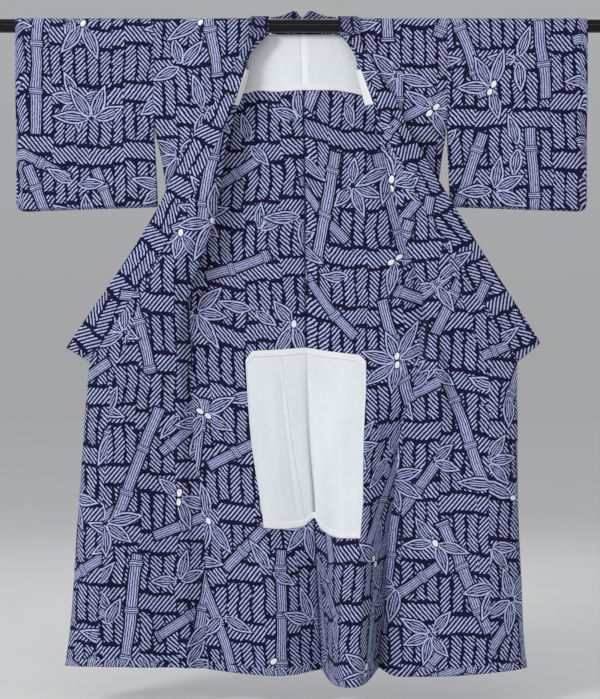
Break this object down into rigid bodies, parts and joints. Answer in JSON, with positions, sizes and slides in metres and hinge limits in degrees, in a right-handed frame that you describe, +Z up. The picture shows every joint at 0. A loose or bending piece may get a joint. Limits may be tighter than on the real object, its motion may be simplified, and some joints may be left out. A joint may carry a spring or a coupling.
{
  "type": "cotton yukata robe on a display rod",
  "caption": "Indigo cotton summer robe hung wide open over a straight display rod, collar and fronts folded back, white linings showing.",
  "frame": {"origin": "on the display rod's axis, half way along it, where the rod is held", "axes": "+X along the rod to the viewer's right, +Z up, -Y towards the viewer, who sees the inside of the back between the opened fronts"},
  "size_m": [1.6, 0.1373, 1.6811],
  "materials": {
    "indigo_cotton": "plain-woven cotton, dark indigo with a resist-dyed pale pattern, matte",
    "collar_cotton": "the same cotton, doubled and pressed, matte",
    "white_cotton": "thin bleached cotton, matte",
    "rod_lacquer": "black lacquer, glossy"
  },
  "bodies": {
    "root": {"rod": "rod_lacquer", "back_left": "indigo_cotton", "back_right": "indigo_cotton", "front_left": "indigo_cotton", "front_right": "indigo_cotton", "okumi_left": "indigo_cotton", "okumi_right": "indigo_cotton", "sleeve_left": "indigo_cotton", "sleeve_right": "indigo_cotton", "collar": "collar_cotton", "shoulder_lining": "white_cotton", "shoulder_lining_front_left": "white_cotton", "shoulder_lining_front_right": "white_cotton", "seat_lining": "white_cotton"}
  },
  "joints": []
}
